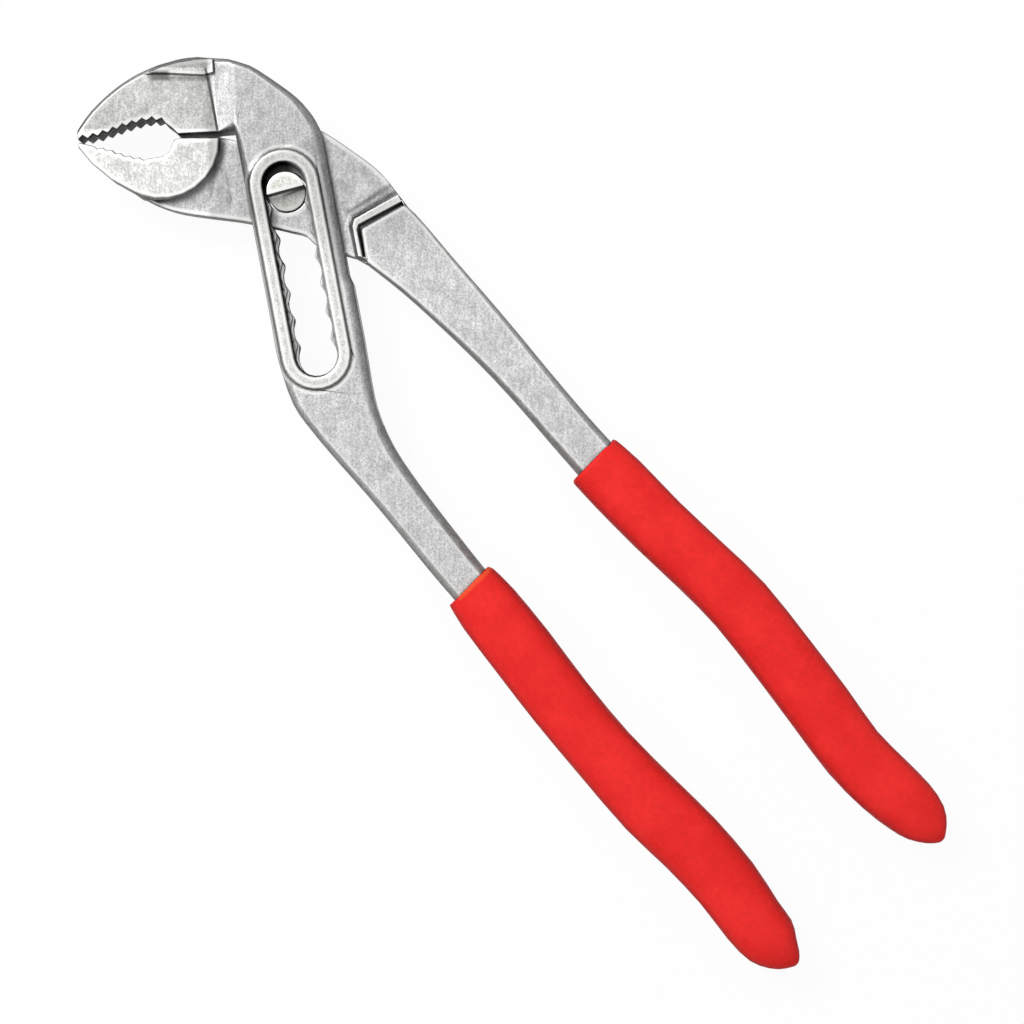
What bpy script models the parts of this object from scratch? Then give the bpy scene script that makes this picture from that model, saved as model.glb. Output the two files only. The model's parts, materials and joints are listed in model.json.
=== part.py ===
"""Water pump pliers with a box joint: two forged arms, a half-moon pin and two dipped grips.

The tool lies flat with its jaws closed. +X runs from the jaws to the handles, +Z is up,
and the origin is the centre of the box that bounds the tool, on the surface it lies on.
"""

import bmesh
import bpy
from math import asin, ceil, cos, hypot, pi, radians, sin, sqrt
from mathutils import Matrix, Vector

MM = 0.001

# Fits
CLEARANCE = 0.3 * MM
OVERRUN = 2.0 * MM
EDGE_BREAK = 0.25 * MM
MERGE_DISTANCE = 0.001 * MM

# Where the pin stands in the part, and how the slot runs from it
PIN_FROM_CENTRE = (-81.278 * MM, 16.94 * MM)
SLOT_ANGLE = radians(-35.2)

# Heights, each measured from the middle plane of the tool
RIM_HALF_HEIGHT = 6.5 * MM
BOX_HALF_HEIGHT = 5.6 * MM
JAW_HALF_HEIGHT = 4.2 * MM
BACK_RIB_HALF_HEIGHT = 4.9 * MM
WEB_HALF_HEIGHT = 2.45 * MM
HANDLE_HALF_HEIGHT = 4.1 * MM
TANG_HALF_HEIGHT = 3.2 * MM
GRIP_HALF_HEIGHT = 6.4 * MM
PIN_HALF_LENGTH = 5.2 * MM

# Joint: seats along the slot, and the half-moon ends of the pin
SEAT_COUNT = 7
SEAT_PITCH = 6.2 * MM
PIN_RADIUS = 4.3 * MM
HALF_MOON_TILT = radians(4.3)
HALF_MOON_OFFSET = 0.2 * MM
CUSP_RADIUS = 1.5 * MM
SLOT_MOUTH_RADIUS = 4.8 * MM
SLOT_TOP_ROOM = 1.5 * MM
SLOT_LEDGE_DEPTH = 1.5 * MM
RIM_WALL = 3.0 * MM
RIM_EDGE_RADIUS = 0.6 * MM
FULL_OPENING = radians(60)
SEAT_RADIUS = PIN_RADIUS + CLEARANCE
SLOT_TRAVEL = (SEAT_COUNT - 1) * SEAT_PITCH
CUSP_ANGLE = asin(SEAT_PITCH / 2 / (SEAT_RADIUS + CUSP_RADIUS))
SEAT_STEPS = 2
CUSP_STEPS = 3

# Box: its cheeks on the jaw side and on the handle side of the slot
BOX_JAW_SIDE = 8.7 * MM
BOX_HANDLE_SIDE = 10.9 * MM
BOX_RELIEF = 0.6 * MM
BOX_BEVEL = 1.5 * MM
BOX_BACK_BEVEL = 2.2 * MM
CROWN_BEVEL = 1.0 * MM
BOX_BEVEL_DROP = 1.8 * MM
CROTCH_ROOM = 18.4 * MM

# Jaws, measured from the pin: across the slot to the tips, along the slot to the back and the belly
JAW_REACH = 43.4 * MM
JAW_BACK = 33.6 * MM
TOOTH_COUNT = 9
TOOTH_DEPTH = 0.9 * MM
LOWER_TOOTH_COUNT = 6
LOWER_TOOTH_DEPTH = 0.5 * MM
LOWER_TOOTHED_POINTS = 6
CHEEK_START = radians(82)
CHEEK_END = radians(-31)
CHEEK_RADIUS = 13.0 * MM
CHEEK_SLOPE = 0.5 * MM
GROOVE_DEPTH = 0.4 * MM
WEB_RADIUS = 15.9 * MM
WEB_EDGE_NORMAL = radians(135)
JAW_BEVEL = 1.2 * MM

# Handles, measured from the pin along X and across it
HANDLE_REACH = 205.0 * MM
BOX_HANDLE_OFFSET = 50.0 * MM
INNER_HANDLE_OFFSET = 16.0 * MM
HANDLE_BEVEL = 1.5 * MM
HANDLE_BEVEL_DROP = 2.3 * MM
HANDLE_ROOT_HALF_HEIGHT = 4.3 * MM
ROOT_BEVEL = 0.5 * MM
TANG_WIDTH = 7.6 * MM
TANG_BEVEL = 0.5 * MM
TANG_END_SHARE = 0.88
COLLAR_RIDGE_DROP = 0.1 * MM
COLLAR_LAP = 0.3 * MM

# Grips
GRIP_WIDTH = 14.4 * MM
GRIP_LIP = 0.5 * MM
GRIP_MOUTH_HEIGHT_SHARE = 0.90
GRIP_FULLNESS = 0.78

# How finely the round stretches are divided
ARC_STEP = radians(15)
PIN_SEGMENTS = 40
FINE_STEPS = 24
EVEN_STEPS = 2
HANDLE_STEPS = 3
MITRE_LIMIT = 0.5
SHARP_ANGLE = radians(35)
FLAT_ANGLE = radians(0.1)

STEEL = ("forged_steel", (0.62, 0.62, 0.63, 1.0), 0.42, 1.0)
PIN_STEEL = ("pin_steel", (0.70, 0.70, 0.71, 1.0), 0.34, 1.0)
VINYL = ("red_vinyl", (0.78, 0.02, 0.02, 1.0), 0.45, 0.0)

# A bar's bevel, slightly crowned: how far in and how far up each of its points lies
BEVEL_SHARES = ((0.00, 0.00), (0.10, 0.28), (0.52, 0.72), (1.00, 1.00))

# A quarter round, as shares of its radius: how far in and how far down
ROUND_SHARES = ((1.00, 0.00), (0.29, 0.29), (0.00, 1.00))

# Outlines of the two jaws, as shares of JAW_BACK along the slot and of JAW_REACH across it.
# Each row of the box arm's jaw is a point of its toothed edge and one of its back.
UPPER_JAW_SHARES = (
    ((0.588, 1.000), (0.655, 1.000)),
    ((0.584, 0.925), (0.765, 0.913)),
    ((0.598, 0.838), (0.870, 0.790)),
    ((0.618, 0.745), (0.944, 0.662)),
    ((0.627, 0.645), (0.984, 0.540)),
    ((0.617, 0.590), (0.993, 0.480)),
    ((0.587, 0.543), (0.999, 0.430)),
)
THROAT_SHARES = (
    ((0.548, 0.514), (1.000, 0.400)),
    ((0.505, 0.491), (0.999, 0.372)),
    ((0.488, 0.390), (0.992, 0.320)),
    ((0.470, 0.294), (0.976, 0.276)),
)

# Groove at the edge of the jaw's ground face: both ends of its line. The slope up to the box
# starts in it.
GROOVE_SHARES = ((0.470, 0.280), (0.974, 0.262))

# Crown of the box: how far up the slot its jaw side and its back lie, as shares of JAW_BACK,
# and how far across the back lies, as a share of the cheek on the handle side
BOX_CROWN_SHARES = (
    (0.464, 0.936, -0.700),
    (0.440, 0.868, -0.270),
    (0.410, 0.785, 0.035),
    (0.380, 0.694, 0.330),
    (0.340, 0.600, 0.605),
    (0.300, 0.505, 0.800),
    (0.250, 0.410, 0.935),
    (0.180, 0.290, 1.000),
)

# Sides of the box: how far down the slot, as a share of its travel, and how much of the relief is left
BOX_SIDE_SHARES = ((0.000, 1.0), (0.300, 1.0), (0.555, 1.0), (0.615, 0.0), (0.800, 0.0), (0.980, 0.0))
BACK_RIB_SHARES = (
    (0.935, 0.600),
    (0.926, 0.545),
    (0.909, 0.479),
    (0.882, 0.393),
    (0.855, 0.303),
    (0.862, 0.250),
    (0.955, 0.240),
    (0.970, 0.330),
    (0.973, 0.420),
    (0.964, 0.500),
    (0.948, 0.565),
)
LOWER_BITE_SHARES = (
    (0.574, 1.000),
    (0.534, 0.929),
    (0.499, 0.858),
    (0.455, 0.799),
    (0.414, 0.730),
    (0.384, 0.660),
    (0.380, 0.600),
    (0.397, 0.556),
    (0.435, 0.536),
    (0.473, 0.516),
    (0.480, 0.490),
    (0.459, 0.400),
)
LOWER_BELLY_SHARES = ((0.200, 0.785), (0.295, 0.873), (0.420, 0.954), (0.542, 1.007))
CHEEK_CENTRE_SHARES = (0.488, 0.583)
WEB_START_SHARES = (
    ((0.196, 0.774), (0.330, 0.725)),
    ((0.119, 0.712), (0.330, 0.625)),
    ((0.051, 0.636), (0.360, 0.541)),
    ((-0.006, 0.548), (0.452, 0.474)),
    ((-0.062, 0.424), (0.450, 0.300)),
    ((-0.128, 0.265), (0.399, 0.207)),
)

# Lower edge of the web under the pin, along and across the slot, as shares of WEB_RADIUS
WEB_FOOT_SHARES = ((0.352, -0.516), (0.465, -0.239), (0.560, -0.025), (0.648, 0.157), (0.818, 0.283))
WEB_FOOT_ANGLES = (205, 190, 172, 154, 135)
WEB_NECK_SHARES = (
    ((0.956, 0.541), (-0.400, 1.020)),
    ((1.069, 0.755), (-0.126, 1.275)),
    ((1.170, 0.960), (0.140, 1.450)),
    ((1.384, 1.208), (0.610, 1.655)),
)

# Handles: both edges at each station, as shares of HANDLE_REACH and of the arm's own offset
BOX_ROOT_SHARES = (
    ((0.166, -0.658), (0.222, -0.380)),
    ((0.203, -0.688), (0.251, -0.444)),
    ((0.246, -0.706), (0.283, -0.490)),
    ((0.295, -0.722), (0.320, -0.522)),
    ((0.349, -0.746), (0.363, -0.550)),
    ((0.402, -0.772), (0.412, -0.578)),
    ((0.444, -0.788), (0.450, -0.598)),
)
INNER_ROOT_SHARES = (
    ((0.086, 0.345), (0.102, 1.038)),
    ((0.101, 0.215), (0.119, 1.031)),
)
INNER_HANDLE_SHARES = (
    ((0.117, 0.069), (0.139, 1.013)),
    ((0.166, 0.131), (0.178, 0.963)),
    ((0.224, 0.156), (0.232, 0.906)),
    ((0.283, 0.156), (0.288, 0.838)),
    ((0.341, 0.119), (0.346, 0.756)),
    ((0.400, 0.050), (0.402, 0.688)),
    ((0.447, 0.000), (0.449, 0.650)),
)

# Collar, from its foot on the web to its groove: the same outline at each level, then the share
# of the way up from the web to the ridge. The cove is where the level rises ever faster.
COLLAR_LEVELS = (
    (((0.0755, 1.092), (0.0612, 0.427), (0.0737, 0.242), (0.1020, 0.012)), -0.08),
    (((0.0829, 1.078), (0.0682, 0.407), (0.0750, 0.267), (0.1040, 0.024)), 0.17),
    (((0.0873, 1.066), (0.0720, 0.395), (0.0765, 0.288), (0.1050, 0.036)), 0.46),
    (((0.0904, 1.056), (0.0746, 0.390), (0.0781, 0.298), (0.1058, 0.050)), 1.00),
    (((0.0980, 1.028), (0.0815, 0.371), (0.0843, 0.303), (0.1089, 0.085)), 1.00),
    (((0.0996, 1.018), (0.0832, 0.365), (0.0868, 0.318), (0.1115, 0.109)), 0.25),
)
COLLAR_INNER_SHARES = ((0.122, 0.200), (0.122, 0.900))

# Grips: middle line and width at each station, as shares of HANDLE_REACH, of the arm's offset
# and of GRIP_WIDTH, with the height as a share of GRIP_HALF_HEIGHT
BOX_GRIP_SHARES = (
    (0.475, -0.710, 1.000, 0.97),
    (0.535, -0.743, 1.035, 1.00),
    (0.603, -0.785, 1.020, 1.00),
    (0.677, -0.817, 1.020, 1.00),
    (0.752, -0.834, 1.095, 1.00),
    (0.812, -0.834, 1.080, 1.00),
    (0.871, -0.851, 1.040, 1.00),
    (0.920, -0.888, 0.985, 0.97),
    (0.949, -0.898, 0.915, 0.90),
    (0.967, -0.898, 0.660, 0.74),
    (0.980, -0.892, 0.370, 0.54),
    (0.987, -0.891, 0.120, 0.30),
)
INNER_GRIP_SHARES = (
    (0.480, 0.300, 1.000, 0.97),
    (0.543, 0.278, 0.990, 1.00),
    (0.611, 0.290, 0.990, 1.00),
    (0.670, 0.281, 1.015, 1.00),
    (0.743, 0.159, 1.020, 1.00),
    (0.812, 0.022, 1.030, 1.00),
    (0.871, -0.106, 1.010, 1.00),
    (0.920, -0.119, 1.010, 0.97),
    (0.956, -0.100, 0.940, 0.90),
    (0.981, -0.100, 0.770, 0.74),
    (0.998, -0.113, 0.440, 0.54),
    (1.007, -0.116, 0.130, 0.30),
)
BOX_GRIP_MOUTH_SHARES = (0.442, -0.693, 0.890)
INNER_GRIP_MOUTH_SHARES = (0.4435, 0.300, 0.945)


def clear_scene():
    for item in list(bpy.data.objects):
        bpy.data.objects.remove(item, do_unlink=True)


def add_collection(name):
    group = bpy.data.collections.new(name)
    bpy.context.scene.collection.children.link(group)
    return group


def make_material(finish):
    name, colour, roughness, metallic = finish
    material = bpy.data.materials.new(name)
    material.use_nodes = True
    shader = material.node_tree.nodes["Principled BSDF"]
    shader.inputs["Base Color"].default_value = colour
    shader.inputs["Roughness"].default_value = roughness
    shader.inputs["Metallic"].default_value = metallic
    return material


def from_slot(along, across):
    """A place down the slot and across it, turned into X and Y from the pin."""
    turn_cos, turn_sin = cos(SLOT_ANGLE), sin(SLOT_ANGLE)
    return (along * turn_cos - across * turn_sin, along * turn_sin + across * turn_cos)


def jaw_point(shares):
    """A place on a jaw: its shares are taken up from the pin and out towards the tips."""
    return from_slot(-shares[0] * JAW_BACK, -shares[1] * JAW_REACH)


def smooth_rows(rows, steps):
    """Rows on a Catmull-Rom curve through the given ones, with both ends."""
    result = []
    last = len(rows) - 1
    for index in range(last):
        group = (rows[max(index - 1, 0)], rows[index], rows[index + 1], rows[min(index + 2, last)])
        for step in range(steps):
            result.append(blend_rows(group, step / steps))
    result.append(rows[last])
    return result


def blend_rows(group, share):
    values = []
    for before, start, end, after in zip(*group):
        rise = end - before
        fall = after - start
        bend = share * share * (2 * before - 5 * start + 4 * end - after)
        twist = share ** 3 * (3 * (start - end) + after - before)
        values.append(start + (share * rise + bend + twist) / 2)
    return tuple(values)


def section_row(left, right, half_height, left_bevel, right_bevel, drop):
    return (*left, *right, half_height, left_bevel, right_bevel, drop)


def section_ring(row):
    """The outline of a flat bar across its length, with bevels of uneven width."""
    left, right = Vector(row[0:2]), Vector(row[2:4])
    half_height, left_bevel, right_bevel, drop = row[4:8]
    across = (right - left).normalized()
    ring = []
    for side, inward, bevel in ((left, across, left_bevel), (right, -across, right_bevel)):
        corner = []
        for in_share, up_share in BEVEL_SHARES:
            place = side + inward * bevel * in_share
            corner.append((place, half_height - drop * (1 - up_share)))
        lower = [(place.x, place.y, -height) for place, height in reversed(corner)]
        upper = [(place.x, place.y, height) for place, height in corner]
        stretch = lower + upper
        ring += stretch if inward is across else list(reversed(stretch))
    return ring


def oval_ring(centre, across, half_width, half_height):
    """A full, slightly squared oval, as a dipped grip has across its length."""
    count = int(2 * pi / ARC_STEP)
    ring = []
    for step in range(count):
        angle = 2 * pi * step / count
        side = abs(cos(angle)) ** GRIP_FULLNESS * (1 if cos(angle) > 0 else -1)
        rise = abs(sin(angle)) ** GRIP_FULLNESS * (1 if sin(angle) > 0 else -1)
        place = Vector(centre) + Vector(across) * half_width * side
        ring.append((place.x, place.y, half_height * rise))
    return ring


def flat_ring(points, height):
    return [(x, y, height) for x, y in points]


def add_loft(name, rings, material, group):
    """A closed body through rings of as many points each, capped at both ends."""
    mesh = bpy.data.meshes.new(name)
    shape = bmesh.new()
    loops = [[shape.verts.new(point) for point in ring] for ring in rings]
    count = len(loops[0])
    for lower, upper in zip(loops, loops[1:]):
        for index in range(count):
            after = (index + 1) % count
            shape.faces.new((lower[index], lower[after], upper[after], upper[index]))
    shape.faces.new(list(reversed(loops[0])))
    shape.faces.new(loops[-1])
    bmesh.ops.connect_verts_nonplanar(shape, angle_limit=FLAT_ANGLE, faces=shape.faces[:])
    bmesh.ops.recalc_face_normals(shape, faces=shape.faces[:])
    shape.to_mesh(mesh)
    shape.free()
    body = bpy.data.objects.new(name, mesh)
    body.data.materials.append(material)
    group.objects.link(body)
    return body


def add_plate(name, outline, half_height, edge, material, group):
    """A flat plate drawn as a closed curve, with rounded edges where an edge is given."""
    drawing = bpy.data.curves.new(name, "CURVE")
    drawing.dimensions = "2D"
    drawing.fill_mode = "BOTH"
    drawing.extrude = half_height - edge
    drawing.bevel_depth = edge
    drawing.bevel_resolution = 1
    drawing.offset = -edge
    line = drawing.splines.new("POLY")
    line.points.add(len(outline) - 1)
    for point, (x, y) in zip(line.points, outline):
        point.co = (x, y, 0, 1)
    line.use_cyclic_u = True
    sketch = bpy.data.objects.new(f"{name}_outline", drawing)
    group.objects.link(sketch)
    bpy.context.view_layer.update()
    solid = sketch.evaluated_get(bpy.context.evaluated_depsgraph_get())
    mesh = bpy.data.meshes.new_from_object(solid)
    bpy.data.objects.remove(sketch, do_unlink=True)
    shape = bmesh.new()
    shape.from_mesh(mesh)
    bmesh.ops.remove_doubles(shape, verts=shape.verts[:], dist=MERGE_DISTANCE)
    bmesh.ops.recalc_face_normals(shape, faces=shape.faces[:])
    shape.to_mesh(mesh)
    shape.free()
    body = bpy.data.objects.new(name, mesh)
    body.data.materials.clear()
    body.data.materials.append(material)
    group.objects.link(body)
    return body


def hide_tool(tool):
    tool.hide_render = True
    tool.hide_set(True)
    tool.display_type = "WIRE"


def combine(body, tool, operation):
    step = body.modifiers.new(f"{operation.title()} {tool.name}", "BOOLEAN")
    step.operation = operation
    step.solver = "EXACT"
    step.object = tool
    tool.parent = body
    hide_tool(tool)


def arc_points(centre, radius, start, end, from_side=False):
    """Points on an arc with both its ends. Angles run from the first axis, or from the second."""
    count = max(2, ceil(abs(end - start) / ARC_STEP))
    places = []
    for step in range(count + 1):
        angle = start + (end - start) * step / count
        first, second = (sin(angle), cos(angle)) if from_side else (cos(angle), sin(angle))
        places.append((centre[0] + radius * first, centre[1] + radius * second))
    return places


def toothed_rows(rows, teeth, depth):
    """The same rows with teeth cut into the left edge, one notch to each pair of rows."""
    notched = []
    for index, row in enumerate(rows):
        left, right = Vector(row[0:2]), Vector(row[2:4])
        inward = (right - left).normalized() * depth
        in_notch = index % 2 == 1 and index < 2 * teeth
        moved = left + inward if in_notch else left
        notched.append((moved.x, moved.y, *row[2:]))
    return notched


def jaw_row(bite, back, half_height):
    return section_row(jaw_point(bite), jaw_point(back), half_height, EDGE_BREAK, JAW_BEVEL, JAW_BEVEL)


def shoulder_rows():
    """From the toothed hollow's throat to the groove at the edge of the ground face."""
    rows = [jaw_row(left, right, JAW_HALF_HEIGHT) for left, right in THROAT_SHARES]
    rows.append(jaw_row(*GROOVE_SHARES, JAW_HALF_HEIGHT - GROOVE_DEPTH))
    return rows


def resample(rows, count):
    """Rows at even distances along the left edge of the given ones."""
    fine = smooth_rows(rows, FINE_STEPS)
    lengths = [0]
    for before, after in zip(fine, fine[1:]):
        lengths.append(lengths[-1] + hypot(after[0] - before[0], after[1] - before[1]))
    picked = []
    for step in range(count + 1):
        goal = lengths[-1] * step / count
        index = min(range(len(fine)), key=lambda place: abs(lengths[place] - goal))
        picked.append(fine[index])
    return picked


def box_crown_rows():
    """The crown of the box, whose bevel widens from the jaw's back to the cheek."""
    rows = []
    cheek = BOX_HANDLE_SIDE - BOX_RELIEF
    last = len(BOX_CROWN_SHARES) - 1
    for index, (left_up, right_up, right_across) in enumerate(BOX_CROWN_SHARES):
        left = from_slot(-left_up * JAW_BACK, -BOX_JAW_SIDE)
        right = from_slot(-right_up * JAW_BACK, right_across * cheek)
        bevel = CROWN_BEVEL + (BOX_BACK_BEVEL - CROWN_BEVEL) * (index / last) ** 2
        rows.append(box_row(left, right, bevel))
    return rows


def box_row(left, right, bevel):
    return section_row(left, right, BOX_HALF_HEIGHT, BOX_BEVEL, bevel, BOX_BEVEL_DROP)


def box_side_rows():
    rows = []
    for down, relief in BOX_SIDE_SHARES:
        along = down * SLOT_TRAVEL
        left = from_slot(along, -BOX_JAW_SIDE)
        right = from_slot(along, BOX_HANDLE_SIDE - BOX_RELIEF * relief)
        rows.append(box_row(left, right, BOX_BACK_BEVEL))
    return rows


def handle_point(shares, offset):
    return (shares[0] * HANDLE_REACH, shares[1] * offset)


def handle_rows(shares, offset, start):
    """Stations of a handle: height and bevels go from those of its start to the handle's own."""
    rows = []
    last = len(shares) - 1
    goal = (HANDLE_HALF_HEIGHT, HANDLE_BEVEL, HANDLE_BEVEL, HANDLE_BEVEL_DROP)
    for index, (left, right) in enumerate(shares):
        part = index / last
        sizes = [first + (end - first) * part for first, end in zip(start, goal)]
        rows.append(section_row(handle_point(left, offset), handle_point(right, offset), *sizes))
    return rows


def line_stations(shares, offset):
    """Each station's centre, its direction across and its other shares, from a middle line's shares."""
    centres = [Vector(handle_point(row, offset)) for row in shares]
    stations = []
    for index, row in enumerate(shares):
        ahead = centres[min(index + 1, len(centres) - 1)] - centres[max(index - 1, 0)]
        across = Vector((-ahead.y, ahead.x)).normalized()
        stations.append((centres[index], across, row[2:]))
    return stations


def tang_rows(grip_shares, offset):
    """The narrow end of an arm that its grip covers, along the grip's own middle line."""
    rows = []
    for (centre, across, _), shares in zip(line_stations(grip_shares, offset), grip_shares):
        if shares[0] > TANG_END_SHARE:
            break
        left = centre - across * TANG_WIDTH / 2
        right = centre + across * TANG_WIDTH / 2
        rows.append(section_row(left, right, TANG_HALF_HEIGHT, TANG_BEVEL, TANG_BEVEL, TANG_BEVEL))
    return rows


def widened_row(row, room):
    """The same station with room added on every side, for the hollow that the tang fits."""
    left, right = Vector(row[0:2]), Vector(row[2:4])
    across = (right - left).normalized() * room
    return section_row(left - across, right + across, row[4] + room, row[5], row[6], row[7])


def shifted_row(row, distance):
    """The same station moved along the handle."""
    left, right = Vector(row[0:2]), Vector(row[2:4])
    across = (right - left).normalized()
    ahead = Vector((across.y, -across.x)) * distance
    return section_row(left + ahead, right + ahead, *row[4:8])


def seat_stations():
    """Half of the slot's scalloped edge: how far down each point lies and how far across."""
    cusp_across = sqrt((SEAT_RADIUS + CUSP_RADIUS) ** 2 - (SEAT_PITCH / 2) ** 2)
    stations = []
    for seat in range(SEAT_COUNT):
        centre = seat * SEAT_PITCH
        for step in range(-SEAT_STEPS, SEAT_STEPS + 1):
            turn = CUSP_ANGLE * step / SEAT_STEPS
            stations.append((centre + SEAT_RADIUS * sin(turn), SEAT_RADIUS * cos(turn)))
        centre += SEAT_PITCH / 2
        for step in range(1, CUSP_STEPS):
            turn = CUSP_ANGLE * (2 * step / CUSP_STEPS - 1)
            stations.append((centre + CUSP_RADIUS * sin(turn), cusp_across - CUSP_RADIUS * cos(turn)))
    return stations[SEAT_STEPS:-SEAT_STEPS - CUSP_STEPS + 1]


def slot_outline(radius, scalloped=False):
    """The slot's outline down its handle side and back up its jaw side, plain or scalloped."""
    side = arc_points((-SLOT_TOP_ROOM, 0), radius, -pi / 2, 0, True)
    side += [(along, across if scalloped else radius) for along, across in seat_stations()]
    side += arc_points((SLOT_TRAVEL, 0), radius, 0, pi / 2, True)[1:]
    mirrored = [(along, -across) for along, across in reversed(side[1:-1])]
    return [from_slot(along, across) for along, across in side + mirrored]


def add_slot_tool(material, group):
    """Seven seats through both cheeks, under a plain mouth with a rounded edge in each rim."""
    ledge = RIM_HALF_HEIGHT - SLOT_LEDGE_DEPTH
    seats = slot_outline(SEAT_RADIUS, scalloped=True)
    widest = slot_outline(SLOT_MOUTH_RADIUS + RIM_EDGE_RADIUS)
    levels = [(widest, RIM_HALF_HEIGHT + OVERRUN)]
    for out_share, down_share in ROUND_SHARES:
        outline = slot_outline(SLOT_MOUTH_RADIUS + RIM_EDGE_RADIUS * out_share)
        levels.append((outline, RIM_HALF_HEIGHT - RIM_EDGE_RADIUS * down_share))
    levels += [(slot_outline(SLOT_MOUTH_RADIUS), ledge), (seats, ledge - EDGE_BREAK)]
    rings = [flat_ring(outline, -height) for outline, height in levels]
    rings += [flat_ring(outline, height) for outline, height in reversed(levels)]
    return add_loft("slot_tool", rings, material, group)


def add_rim(material, group):
    """A round-ended collar round the slot, standing proud of both cheeks."""
    radius = SLOT_MOUTH_RADIUS + RIM_WALL
    top = arc_points((-SLOT_TOP_ROOM, 0), radius, 3 * pi / 2, pi / 2)
    bottom = arc_points((SLOT_TRAVEL, 0), radius, pi / 2, -pi / 2)
    outline = [from_slot(along, across) for along, across in top + bottom]
    return add_plate("rim_tool", outline, RIM_HALF_HEIGHT, RIM_EDGE_RADIUS, material, group)


def add_window_tool(material, group):
    """The gap between the cheeks. Its upper end stops the web's edge when fully open."""
    stop_angle = WEB_EDGE_NORMAL + FULL_OPENING
    reach = WEB_RADIUS + CLEARANCE
    far = JAW_REACH
    lower = SLOT_TRAVEL + CROTCH_ROOM
    corners = []
    for across in (-far, far):
        along = (reach - across * sin(stop_angle)) / cos(stop_angle)
        corners.append(from_slot(along, across))
    corners += [from_slot(lower, far), from_slot(lower, -far)]
    return add_plate("window_tool", corners, WEB_HALF_HEIGHT + CLEARANCE, 0, material, group)


def add_back_rib(material, group):
    """The strip left standing along the back when the face of the upper jaw is ground."""
    outline = [jaw_point(shares) for shares in BACK_RIB_SHARES]
    return add_plate("back_rib_tool", outline, BACK_RIB_HALF_HEIGHT, EDGE_BREAK, material, group)


def inset_points(points, distance):
    """A closed outline moved inward by a distance, with mitred corners."""
    count = len(points)
    area = sum(points[i - 1][0] * points[i][1] - points[i][0] * points[i - 1][1] for i in range(count))
    turn = 1 if area > 0 else -1
    moved = []
    for index in range(count):
        before, here, after = (Vector(points[(index + shift) % count]) for shift in (-1, 0, 1))
        first, second = (here - before).normalized(), (after - here).normalized()
        normals = [Vector((-edge.y, edge.x)) * turn for edge in (first, second)]
        middle = (normals[0] + normals[1]).normalized()
        reach = distance / max(MITRE_LIMIT, middle.dot(normals[0]))
        moved.append(tuple(here + middle * reach))
    return moved


def box_handle_rows():
    """Stations of the slotted arm's handle, flowing out of the foot of the box."""
    start = (BOX_HALF_HEIGHT, BOX_BEVEL, BOX_BACK_BEVEL, BOX_BEVEL_DROP)
    root = handle_rows(BOX_ROOT_SHARES, BOX_HANDLE_OFFSET, start)
    return smooth_rows(box_side_rows()[-2:] + root, HANDLE_STEPS)


def add_box_arm(material, group, tools):
    """The slotted arm: toothed upper jaw, shoulder, box and handle forged in one."""
    bites = [jaw_row(bite, back, JAW_HALF_HEIGHT) for bite, back in UPPER_JAW_SHARES]
    jaw = toothed_rows(resample(bites, 2 * TOOTH_COUNT), TOOTH_COUNT, TOOTH_DEPTH)
    jaw += shoulder_rows()
    crown = smooth_rows(box_crown_rows(), EVEN_STEPS)
    tang = tang_rows(BOX_GRIP_SHARES, BOX_HANDLE_OFFSET)
    rows = jaw + crown + box_side_rows()[:-2] + box_handle_rows() + tang
    arm = add_loft("box_arm", [section_ring(row) for row in rows], material, group)
    combine(arm, add_back_rib(material, tools), "UNION")
    combine(arm, add_rim(material, tools), "UNION")
    combine(arm, add_slot_tool(material, tools), "DIFFERENCE")
    combine(arm, add_window_tool(material, tools), "DIFFERENCE")
    return arm


def lower_bite_points():
    """The toothed hollow of the lower jaw, from its tip to its throat."""
    bite = [jaw_point(shares) for shares in LOWER_BITE_SHARES]
    rows = [(*point, *point) for point in bite[1:LOWER_TOOTHED_POINTS]]
    even = resample(rows, 2 * LOWER_TOOTH_COUNT)
    points = [bite[0]]
    for index, row in enumerate(even):
        ahead = Vector(even[min(index + 1, len(even) - 1)][0:2]) - Vector(even[max(index - 1, 0)][0:2])
        inward = Vector((ahead.y, -ahead.x)).normalized() * LOWER_TOOTH_DEPTH
        notch = inward if index % 2 == 1 else Vector((0, 0))
        points.append(tuple(Vector(row[0:2]) + notch))
    return points + bite[LOWER_TOOTHED_POINTS:]


def lower_jaw_outline(radius):
    """The lower jaw seen from above, its cheek round and as wide as the radius."""
    centre = (-CHEEK_CENTRE_SHARES[0] * JAW_BACK, -CHEEK_CENTRE_SHARES[1] * JAW_REACH)
    throat = arc_points(centre, CHEEK_RADIUS, CHEEK_START, CHEEK_END)[:1]
    cheek = arc_points(centre, radius, CHEEK_START, CHEEK_END)[1:]
    cheek = [from_slot(*place) for place in throat + cheek]
    belly = [jaw_point(shares) for shares in LOWER_BELLY_SHARES]
    return lower_bite_points() + cheek + belly


def add_lower_jaw(material, group):
    """The raised jaw, whose round cheek slopes down to the web."""
    narrow = lower_jaw_outline(CHEEK_RADIUS)
    wide = lower_jaw_outline(CHEEK_RADIUS + CHEEK_SLOPE)
    foot = WEB_HALF_HEIGHT - EDGE_BREAK
    top = JAW_HALF_HEIGHT
    levels = ((inset_points(narrow, EDGE_BREAK), top), (narrow, top - EDGE_BREAK), (wide, foot))
    rings = [flat_ring(outline, -height) for outline, height in levels]
    rings += [flat_ring(outline, height) for outline, height in reversed(levels)]
    return add_loft("lower_jaw_tool", rings, material, group)


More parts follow.
